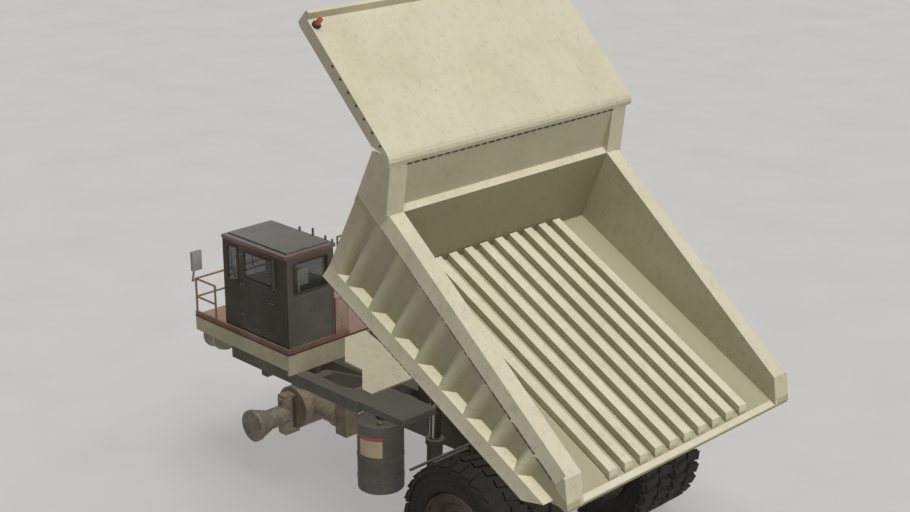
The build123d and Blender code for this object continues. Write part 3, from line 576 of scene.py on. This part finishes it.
def bed_welds_and_shadow_lines():
    """Weld lines under the rails and sills, along the nose and at the riser's foot; the dark ones under the rails and
    sills and along the nose are painted shadow lines.
    """
    seams = []
    for s in (1, -1):
        under_rail = [on_bed(u, s * (WALL_Y + 0.012), rail_w(u) - RAIL_H - 0.012) for u in (0.75, 7.2)]
        under_sill = [on_bed(u, s * (SILL_Y - 0.004), SILL_UNDER_W) for u in (1.0, 7.9)]
        seams += [(under_rail, LEFT * s, False), (under_sill, -ABOVE, False)]
    # Painted shadow: dark beads under the rails and under the sills.
    along_lines("bed_side_shadow_welds", WELDS, seams, 0.15, 0.03, "bed", dark_tone)
    riser = Vector((NOSE[0] - RISER_U, NOSE[1] - RISER_FOOT_W)).normalized()
    u, w = NOSE[0] - riser[0] * 0.10, NOSE[1] - riser[1] * 0.10
    out = (AHEAD * -riser[1] + ABOVE * riser[0]).normalized()
    nose = [on_bed(u, y, w) + out * 0.006 for y in (3.42, -3.42)]
    # Painted shadow: dark beads in the gap under the canopy's nose.
    along_lines("nose_shadow_stitches", WELDS, [(nose, out, False)], 0.23, 0.042, "bed", dark_tone)
    foot = [on_bed(RISER_U + 0.01, y, rail_w(RISER_U) + 0.02) for y in (3.4, -3.4)]
    along_lines("riser_welds", WELDS, [(foot, ABOVE, False)], 0.09, 0.017, "bed", cream)


def canopy_bolts():
    """A row of bolts on each side edge of the canopy's plate."""
    rows = []
    for s in (1, -1):
        row = [on_canopy(u, s * CANOPY_Y) - CANOPY_ABOVE * 0.05 for u in (8.05, 10.1)]
        rows.append((row, LEFT * s, False))
    along_lines("canopy_edge_bolts", BOLTS, rows, 0.31, 0.03, "bed", dark_tone)


def floor_trim():
    """Fillet welds at the floor ribs' feet and the wear strip at the tail."""
    welds = Shape()
    for i in range(RIB_COUNT):
        middle = (i - (RIB_COUNT - 1) / 2) * RIB_PITCH
        for s in (1, -1):
            run = [on_bed(u, middle + s * RIB_HALF, 0.002) for u in RIB_ENDS]
            welds.sweep(run, [(-0.016, -0.001), (0, 0.014), (0.016, -0.001)], ABOVE)
    welds.piece("rib_foot_welds", "bed", cream, "bed_cream")
    strip = Shape()
    strip.block(on_bed(0.095, 0, 0.005), (0.16, 6.9, 0.012), (AHEAD, LEFT, ABOVE), 0.004)
    strip.piece("tail_wear_strip", "bed", worn_plate, "bed_cream")


def canopy_trim():
    """Beacon bases on the canopy's front corners and bars under its plate."""
    beacon = Shape()
    for y in (3.96, -3.96):
        beacon.lathe([(0.0005, 0.0), (0.105, 0.0), (0.105, 0.05), (0.088, 0.062), (0.0005, 0.062)],
                     on_canopy(11.11, y), CANOPY_ABOVE, 32)
    beacon.piece("beacon_bases", "bed", cab_black, "cab_plastic")
    bars = Shape()
    for y in (-3.0, -1.35, 0.0, 1.35, 3.0):
        bars.block(on_canopy(9.9, y) - ABOVE * 0.16, (2.2, 0.08, 0.16), (CANOPY_AHEAD, LEFT, CANOPY_ABOVE), 0.01)
    bars.piece("canopy_under_bars", "bed", cream, "bed_cream")


# Wheels

TYRE_R, TYRE_REACH = 1.65, 0.545
LUG_COUNT, LUG_SIZE, SHOULDER_SIZE = 28, (0.43, 0.205, 0.098), (0.15, 0.2, 0.075)
SIDE_RINGS = ((1.035, 0.455), (1.27, 0.516), (1.43, 0.497))
TYRE_PROFILE = [
    # radius, from the tyre's middle: bead, bulged side, shoulder, tread
    (0.953, 0.40), (1.00, 0.445), (1.10, 0.492), (1.22, 0.518), (1.34, 0.515), (1.45, 0.492), (1.52, 0.462),
    (1.558, 0.42), (1.573, 0.35), (1.578, 0.20), (1.58, 0.0),
]


def wheel_tyres(name, nodes, body, x, rows):
    """Lugged tyres about the given middles, in place of the plain ones."""
    tyre = Shape()
    hub = Vector((x, 0, AXLE_Z))
    outline = TYRE_PROFILE + [(r, -y) for r, y in TYRE_PROFILE[-2::-1]]
    for y in rows:
        middle = hub + LEFT * y
        tyre.lathe(outline, middle, LEFT, 112)
        for r, half in SIDE_RINGS:
            for s in (1, -1):
                ring = [(r - 0.012, s * (half - 0.01)), (r, s * (half + 0.009)), (r + 0.012, s * (half - 0.01))]
                tyre.lathe(ring, middle, LEFT, 96)
        for s in (1, -1):
            for i in range(LUG_COUNT):
                turn = 2 * math.pi * (i + (0.5 if s < 0 else 0.0)) / LUG_COUNT
                add_lug(tyre, middle, s, turn)
    keep_in_reach(tyre, x, rows)
    piece = tyre.piece(name, body, rubber, "tyre_rubber")
    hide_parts(*nodes)


def add_lug(tyre, middle, side, turn):
    """One slanted tread lug and the block where it runs over the shoulder."""
    out = X * math.sin(turn) - Z * math.cos(turn)
    run = X * math.cos(turn) + Z * math.sin(turn)
    skew = (LEFT * side + run * 0.28).normalized()
    at = middle + LEFT * (side * 0.262) + out * (TYRE_R - LUG_SIZE[2] / 2)
    tyre.block(at, LUG_SIZE, (skew, skew.cross(out).normalized(), out), 0.016)
    lean = (out + LEFT * side * 0.55).normalized()
    shoulder = middle + LEFT * (side * 0.468) + out * 1.545 + run * 0.055
    tyre.block(shoulder, SHOULDER_SIZE, (lean.cross(run).normalized(), run, lean), 0.014)


def keep_in_reach(tyre, x, rows):
    """Hold the tread to the tyre's radius and half width."""
    for v in tyre.bm.verts:
        reach = math.hypot(v.co.x - x, v.co.z - AXLE_Z)
        if reach > TYRE_R:
            v.co.x = x + (v.co.x - x) * TYRE_R / reach
            v.co.z = AXLE_Z + (v.co.z - AXLE_Z) * TYRE_R / reach
        middle = min(rows, key=lambda y: abs(y - v.co.y))
        v.co.y = middle + max(-TYRE_REACH, min(TYRE_REACH, v.co.y - middle))


def wheel_trim(name, body, x, side, face_y, bolt_r, count, size, rings):
    """A circle of nuts on the hub's face, and lock rings of (radius, y) on the rim."""
    hub = Vector((x, 0, AXLE_Z))
    axis = LEFT * side
    lines = [(circle(hub + LEFT * side * face_y, axis, bolt_r, 72), axis, True)]
    along_lines(name + "_nuts", BOLTS, lines, 2 * math.pi * bolt_r / count, size, body, rim_brown)
    lock = Shape()
    for r, y in rings:
        lock.lathe([(r - 0.012, y - 0.014), (r - 0.004, y + 0.012), (r + 0.006, y + 0.014), (r + 0.016, y - 0.012)],
                   hub, axis, 96)
    lock.piece(name + "_lock_rings", body, rim_brown, "rim_paint")


def wheels():
    wheel_tyres("tyre_front_right_dressed", ["tyre_front_right"], "wheel_front_right", FRONT_X, (-3.08,))
    for side, name in ((1, "left"), (-1, "right")):
        body = "wheels_rear_" + name
        wheel_tyres("tyres_rear_" + name + "_dressed", ["tyres_rear_" + name], body, REAR_X,
                    (side * 3.07, side * 1.95))
        wheel_trim("rear_" + name, body, REAR_X, side, 3.432, 0.44, 20, 0.03, ((0.905, 3.565),))
        cap = Shape()
        cap.lathe([(0.0005, 3.43), (0.0005, 3.52), (0.16, 3.515), (0.2, 3.49), (0.215, 3.43)],
                  Vector((REAR_X, 0, AXLE_Z)), LEFT * side, 48)
        cap.piece("hub_cap_rear_" + name, body, rim_brown, "rim_paint")
    wheel_trim("front_right", "wheel_front_right", FRONT_X, -1, 3.303, 0.36, 12, 0.026, ((0.905, 3.515),))


# Cab

CAB_X, CAB_Y = (2.65, 5.20), (2.15, 3.64)
ROOF_X, ROOF_Y, ROOF_EDGE_Z = (2.622, 5.148), (2.102, 3.698), 6.945
WINDOWS = [
    # face, low and high across, low and high up
    ("rear", 2.35, 3.42, 5.95, 6.74), ("front", 2.27, 3.52, 5.62, 6.76),
    ("left", 4.61, 5.04, 5.80, 6.74), ("right", 3.00, 4.85, 5.95, 6.74),
]
DOOR_X, DOOR_GLASS_Z = (3.08, 4.48), 6.36


def opening(face, a0, a1, z0, z1):
    """Corners of an opening in one cab face, and the way that face looks."""
    corners = [(a0, z0), (a1, z0), (a1, z1), (a0, z1)]
    if face in ("rear", "front"):
        x, out = (CAB_X[0], -X) if face == "rear" else (CAB_X[1], X)
        return [Vector((x, a, z)) for a, z in corners], out
    y, out = (CAB_Y[1], LEFT) if face == "left" else (CAB_Y[0], -LEFT)
    return [Vector((a, y, z)) for a, z in corners], out


def rounded(corners, radius, steps=4):
    """Round the corners of a closed outline."""
    out = []
    for i, at in enumerate(corners):
        before, after = corners[i - 1], corners[(i + 1) % len(corners)]
        a = at + (before - at).normalized() * radius
        b = at + (after - at).normalized() * radius
        for k in range(steps + 1):
            t = k / steps
            out.append(a * (1 - t) ** 2 + at * (2 * t * (1 - t)) + b * t * t)
    return out


# A rubber seal's outline: (across, off the face)
GASKET = [(-0.028, -0.004), (-0.028, 0.014), (-0.012, 0.022), (0.012, 0.022), (0.026, 0.012), (0.026, -0.004)]


def cab_pieces():
    window_and_door_seals()
    door_trim()
    roof_edge()
    cab_seams()
    wipers()
    rows = []
    for x, out in ((CAB_X[0] - 0.009, -X), (CAB_X[1] + 0.009, X)):
        rows.append(([Vector((x, y, 4.53)) for y in (2.25, 3.54)], out, False))
    along_lines("cab_bolts", BOLTS, rows, 0.215, 0.014, "chassis", dark_grey)
    panel = Shape()
    panel.block(Vector((2.80, 3.02, 6.28)), (0.03, 0.34, 0.42), edge=0.02)
    panel.block(Vector((2.80, 3.16, 6.12)), (0.03, 0.06, 0.62), edge=0.01)
    panel.piece("cab_rear_shade", "chassis", shade_cream, "cab_plastic")


def window_and_door_seals():
    seals = Shape()
    for face, *size in WINDOWS:
        corners, out = opening(face, *size)
        seals.sweep(rounded(corners, 0.06), GASKET, out, closed=True)
    seals.piece("window_gaskets", "chassis", gasket, "cab_plastic")
    door_seal = Shape()
    middle = Vector((sum(DOOR_X) / 2, CAB_Y[1] + 0.0015, DOOR_GLASS_Z))
    corners = [middle + X * a + Z * b for a, b in ((-0.575, -0.36), (0.575, -0.36), (0.575, 0.36), (-0.575, 0.36))]
    door_seal.sweep(rounded(corners, 0.06), GASKET, LEFT, closed=True)
    door_seal.piece("door_gasket", "door", gasket, "cab_plastic")


def door_trim():
    """Handle, pressed panel and two seams on the door."""
    trim = Shape()
    middle = sum(DOOR_X) / 2
    at = Vector((3.24, CAB_Y[1] + 0.012, 5.62))
    trim.block(at, (0.16, 0.02, 0.1), edge=0.008)
    trim.bar([at + Vector((-0.06, 0.0, 0)), at + Vector((-0.06, 0.055, 0)), at + Vector((0.1, 0.055, 0))], 0.011)
    trim.block(Vector((middle, CAB_Y[1] + 0.004, 5.2)), (1.16, 0.012, 0.52), edge=0.005)
    for z in (4.72, 5.86):
        trim.block(Vector((middle, CAB_Y[1] + 0.003, z)), (1.28, 0.01, 0.035), edge=0.003)
    trim.piece("door_handle_and_panel", "door", cab_grey_side_shade, "grey_paint")


def roof_edge():
    band = Shape()
    (x0, x1), (y0, y1) = ROOF_X, ROOF_Y
    loop = [Vector((x, y, ROOF_EDGE_Z)) for x, y in ((x0, y0), (x1, y0), (x1, y1), (x0, y1))]
    band.sweep(loop, [(-0.006, -0.044), (0.006, -0.044), (0.006, 0.044), (-0.006, 0.044)], Z, closed=True)
    band.piece("roof_edge_band", "chassis", rail_red, "rail_red")


def cab_seams():
    """Corner posts, belt line and foot plate on front and rear, and the door's side posts."""
    trim = Shape()
    for x in (CAB_X[0] - 0.004, CAB_X[1] + 0.004):
        for y in (CAB_Y[0] + 0.035, CAB_Y[1] - 0.035):
            trim.block(Vector((x, y, 5.7)), (0.012, 0.07, 2.3), edge=0.004)
        trim.block(Vector((x, sum(CAB_Y) / 2, 5.82)), (0.014, 1.35, 0.05), edge=0.005)
        trim.block(Vector((x, sum(CAB_Y) / 2, 4.53)), (0.02, 1.42, 0.12), edge=0.006)
    trim.block(Vector((2.86, CAB_Y[1] + 0.004, 5.7)), (0.3, 0.012, 2.3), edge=0.004)
    trim.block(Vector((3.93, CAB_Y[1] + 0.004, 6.845)), (2.5, 0.02, 0.05), edge=0.005)
    trim.piece("cab_seams", "chassis", cab_grey_side_shade, "grey_paint")


def wipers():
    pair = Shape()
    for y in (2.6, 3.25):
        foot, tip = Vector((5.222, y, 5.56)), Vector((5.252, y + 0.1, 6.12))
        pair.bar([foot, tip], 0.009, 8)
        pair.block(Vector((5.243, y + 0.1, 6.15)), (0.02, 0.022, 0.62), edge=0.004)
        pair.lathe([(0.0005, -0.02), (0.03, -0.02), (0.03, 0.02), (0.0005, 0.02)], foot, X, 20)
    pair.piece("wipers", "chassis", cab_black, "cab_plastic")


# Deck, cabinets, corner housings and tanks

DECK_SIDE_Y, DECK_REAR_X = 3.70, 2.60


def deck_pieces():
    """The rusty line along the deck's edge and the bolts under it."""
    seam = Shape()
    for s in (1, -1):
        seam.block(Vector((4.525, s * (DECK_SIDE_Y + 0.002), 4.425)), (3.86, 0.016, 0.05), edge=0.004)
    seam.block(Vector((DECK_REAR_X - 0.002, 0, 4.425)), (0.016, 7.4, 0.05), edge=0.004)
    seam.piece("deck_edge_seam", "chassis", rust_brown, "rail_red")
    rows = []
    for s in (1, -1):
        rows.append(([Vector((x, s * (DECK_SIDE_Y + 0.001), 4.30)) for x in (2.75, 6.35)], LEFT * s, False))
    rows.append(([Vector((DECK_REAR_X - 0.001, y, 4.30)) for y in (3.55, -3.55)], -X, False))
    along_lines("deck_edge_bolts", BOLTS, rows, 0.40, 0.018, "chassis", cream_deck)


def door_panel(shape, middle, out, wide, high, louvres=0):
    """A door on an upright face: raised panel, inner seam, louvres and a handle."""
    side = out.cross(Z)
    axes = (side, out, Z)
    shape.block(middle + out * 0.004, (wide, 0.016, high), axes, 0.006)
    shape.block(middle + out * 0.012, (wide - 0.16, 0.012, high - 0.16), axes, 0.005)
    for i in range(louvres):
        slat_axes = (side, (out - Z * 0.5).normalized(), (Z + out * 0.5).normalized())
        shape.block(middle + out * 0.022 + Z * (0.11 + i * 0.055), (wide * 0.6, 0.012, 0.042), slat_axes, 0.004)
    shape.block(middle + out * 0.03 + side * (wide / 2 - 0.14) - Z * 0.12, (0.035, 0.03, 0.16), axes, 0.008)


def cabinet_pieces():
    doors, lids = Shape(), Shape()
    for x in (3.66, 4.94):
        for y, out in ((-1.55, LEFT), (-3.45, -LEFT)):
            door_panel(doors, Vector((x, y, 5.28)), out, 1.16, 1.36, 7)
    for y in (-2.06, -2.94):
        door_panel(doors, Vector((3.0, y, 5.28)), -X, 0.82, 1.36)
        door_panel(doors, Vector((5.6, y, 5.28)), X, 0.82, 1.36, 9)
    door_panel(doors, Vector((3.15, 1.63, 4.96)), -LEFT, 0.76, 0.82)
    door_panel(doors, Vector((2.70, 1.85, 4.96)), -X, 0.34, 0.82)
    doors.piece("cabinet_doors", "chassis", cabinet_tan, "cabinet_pink")
    lip = [(-0.03, -0.05), (0.014, -0.05), (0.014, 0.004), (-0.03, 0.012)]
    for (x0, x1), (y0, y1), top in (((3.0, 5.6), (-3.45, -1.55), 6.15), ((2.7, 3.6), (1.63, 2.07), 5.5)):
        loop = [Vector((x0, y0, top)), Vector((x1, y0, top)), Vector((x1, y1, top)), Vector((x0, y1, top))]
        lids.sweep(loop, lip, Z, closed=True)
    lids.piece("cabinet_lid_edges", "chassis", cabinet_tan, "cabinet_pink")
    faces = Shape()
    for y in (3.76, -3.76):
        faces.block(Vector((6.179, y, 6.02)), (0.008, 0.25, 0.47), edge=0.003)
    faces.piece("mirror_faces", "chassis", mirror_painted_reflection, "lamp_clear")


def corner_housings():
    """Rounded lamp housings under the deck's front corners."""
    drums, rims, bolts = Shape(), Shape(), []
    for side in (1, -1):
        middle = Vector((6.0, side * 3.15, 3.83))
        drums.lathe([(0.0005, -0.33), (0.16, -0.32), (0.29, -0.27), (0.355, -0.17), (0.375, -0.05), (0.375, 0.30),
                     (0.40, 0.31), (0.40, 0.37), (0.34, 0.385), (0.31, 0.33), (0.0005, 0.31)], middle, X, 64)
        drums.block(Vector((5.98, side * 3.15, 4.235)), (0.62, 0.74, 0.185), edge=0.03)
        for x in (5.72, 6.24):
            drums.block(Vector((x, side * 3.15, 4.06)), (0.05, 0.5, 0.22), edge=0.012)
        rims.lathe([(0.374, -0.035), (0.386, -0.03), (0.386, 0.03), (0.374, 0.035)], middle - X * 0.02, X, 64)
        rims.lathe([(0.15, -0.322), (0.165, -0.345), (0.18, -0.345), (0.195, -0.312)], middle, X, 48)
        bolts.append((circle(middle - X * 0.30, -X, 0.235, 24), -X, True))
    housings = drums.piece("corner_housings", "chassis", olive_grey, "grey_paint")
    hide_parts("corner_boxes")
    rims.piece("housing_bands", "chassis", mirror_grey, "grey_paint")
    along_lines("housing_bolts", BOLTS, bolts, 0.185, 0.018, "chassis", mirror_grey)


TANK_X, TANK_Y, TANK_TOP = -0.07, 3.09, 3.42
PLATE_DEGREES, PLATE_Z, PLATE_BAND_Z = (80, 142), (2.64, 3.16), 3.07


def tank_pieces():
    bands, caps, plate, band = Shape(), Shape(), Shape(), Shape()
    for s in (1, -1):
        foot = Vector((TANK_X, s * TANK_Y, 0))
        for z in (1.95, 2.52, 3.28):
            bands.lathe([(0.568, z - 0.035), (0.580, z - 0.032), (0.580, z + 0.032), (0.568, z + 0.035)], foot, Z, 72)
        bands.lathe([(0.53, 3.42), (0.575, 3.405), (0.578, 3.425), (0.53, 3.437)], foot, Z, 72)
        cap = Vector((TANK_X - 0.23, s * (TANK_Y + 0.21), TANK_TOP))
        caps.lathe([(0.0005, 0), (0.085, 0), (0.085, 0.05), (0.06, 0.075), (0.0005, 0.075)], cap, Z, 28)
        drain = [(0.0005, -0.05), (0.05, -0.05), (0.05, -0.01), (0.0005, -0.01)]
        caps.lathe(drain, foot + Z * 1.66, Z, 20)
    bands.piece("tank_bands", "chassis", dark_grey, "grey_paint")
    caps.piece("tank_caps", "chassis", cast, "cast")
    curved_plate(plate, *PLATE_DEGREES, *PLATE_Z, 0.574)
    plate.piece("tank_blank_plate", "chassis", plate_tan, "cabinet_pink")
    curved_plate(band, *PLATE_DEGREES, PLATE_BAND_Z, PLATE_Z[1], 0.577)
    band.piece("tank_plate_band", "chassis", plate_red, "rail_red")


def curved_plate(shape, from_deg, to_deg, z0, z1, radius, steps=8, thick=0.006):
    """A thin plate wrapped on the left tank."""
    foot = Vector((TANK_X, TANK_Y, 0))
    rings = []
    for i in range(steps + 1):
        a = math.radians(from_deg + (to_deg - from_deg) * i / steps)
        out = Vector((math.cos(a), math.sin(a), 0))
        rings.append([shape.bm.verts.new(foot + out * r + Z * z)
                      for r, z in ((radius - thick, z0), (radius, z0), (radius, z1), (radius - thick, z1))])
    for i in range(steps):
        for j in range(4):
            k = (j + 1) % 4
            shape.bm.faces.new((rings[i][j], rings[i][k], rings[i + 1][k], rings[i + 1][j]))
    shape.bm.faces.new(rings[0])
    shape.bm.faces.new(rings[-1][::-1])


# Studio: floor, lights and the photograph's camera

def floor():
    me = bpy.data.meshes.new("studio floor")
    reach = 140.0
    corners = [(a * reach, b * reach, 0) for a, b in ((-1, -1), (1, -1), (1, 1), (-1, 1))]
    me.from_pydata(corners, [], [(0, 1, 2, 3)])
    obj = bpy.data.objects.new("studio_floor", me)
    bpy.context.collection.objects.link(obj)
    n = Nodes("studio floor")
    body = n.mix(n.noise(n.place(), 0.3, 3.0, 0.5, 0.3, 0.7), "#C9C8C5", "#CFCECB")
    me.materials.append(n.finish(body, 0.85))


def lights():
    """A high sun a little behind the truck, half of it without shadows as under a bright even sky."""
    world = bpy.data.worlds.new("studio air")
    world.use_nodes = True
    back = world.node_tree.nodes["Background"]
    back.inputs["Color"].default_value = colour("#E8E8E4")
    back.inputs["Strength"].default_value = 0.16
    bpy.context.scene.world = world
    bpy.context.scene.view_settings.view_transform = "Standard"
    for name, energy, wide, shadows in (("even sky", 1.9, 10, False), ("soft sun", 0.95, 40, True)):
        data = bpy.data.lights.new(name, "SUN")
        data.energy = energy
        data.angle = math.radians(wide)
        data.use_shadow = shadows
        obj = bpy.data.objects.new(name.replace(" ", "_"), data)
        obj.rotation_mode = "QUATERNION"
        obj.rotation_quaternion = Vector((0.44, 0.0, -0.9)).to_track_quat("-Z", "Y")
        bpy.context.collection.objects.link(obj)


def camera():
    """The photograph's camera, fitted to the straight edges of bed, deck and cab."""
    yaw, pitch, roll = -0.782, 0.338, 0.003
    ahead = Vector((math.cos(pitch) * math.cos(yaw), math.cos(pitch) * math.sin(yaw), -math.sin(pitch)))
    right = Vector((math.sin(yaw), -math.cos(yaw), 0))
    up = right.cross(ahead)
    side = right * math.cos(roll) + up * math.sin(roll)
    top = up * math.cos(roll) - right * math.sin(roll)
    data = bpy.data.cameras.new("photo camera")
    data.sensor_width = 36.0
    data.lens = 36.0 * 1598.1 / 910
    data.clip_end = 400
    obj = bpy.data.objects.new("photo_camera", data)
    turn = Matrix((side, top, -ahead)).transposed().to_4x4()
    obj.matrix_world = Matrix.Translation((-26.12, 26.45, 19.85)) @ turn
    bpy.context.collection.objects.link(obj)
    bpy.context.scene.camera = obj


camera()
floor()
lights()
paint_nodes()
bed_pieces()
wheels()
cab_pieces()
deck_pieces()
cabinet_pieces()
corner_housings()
tank_pieces()
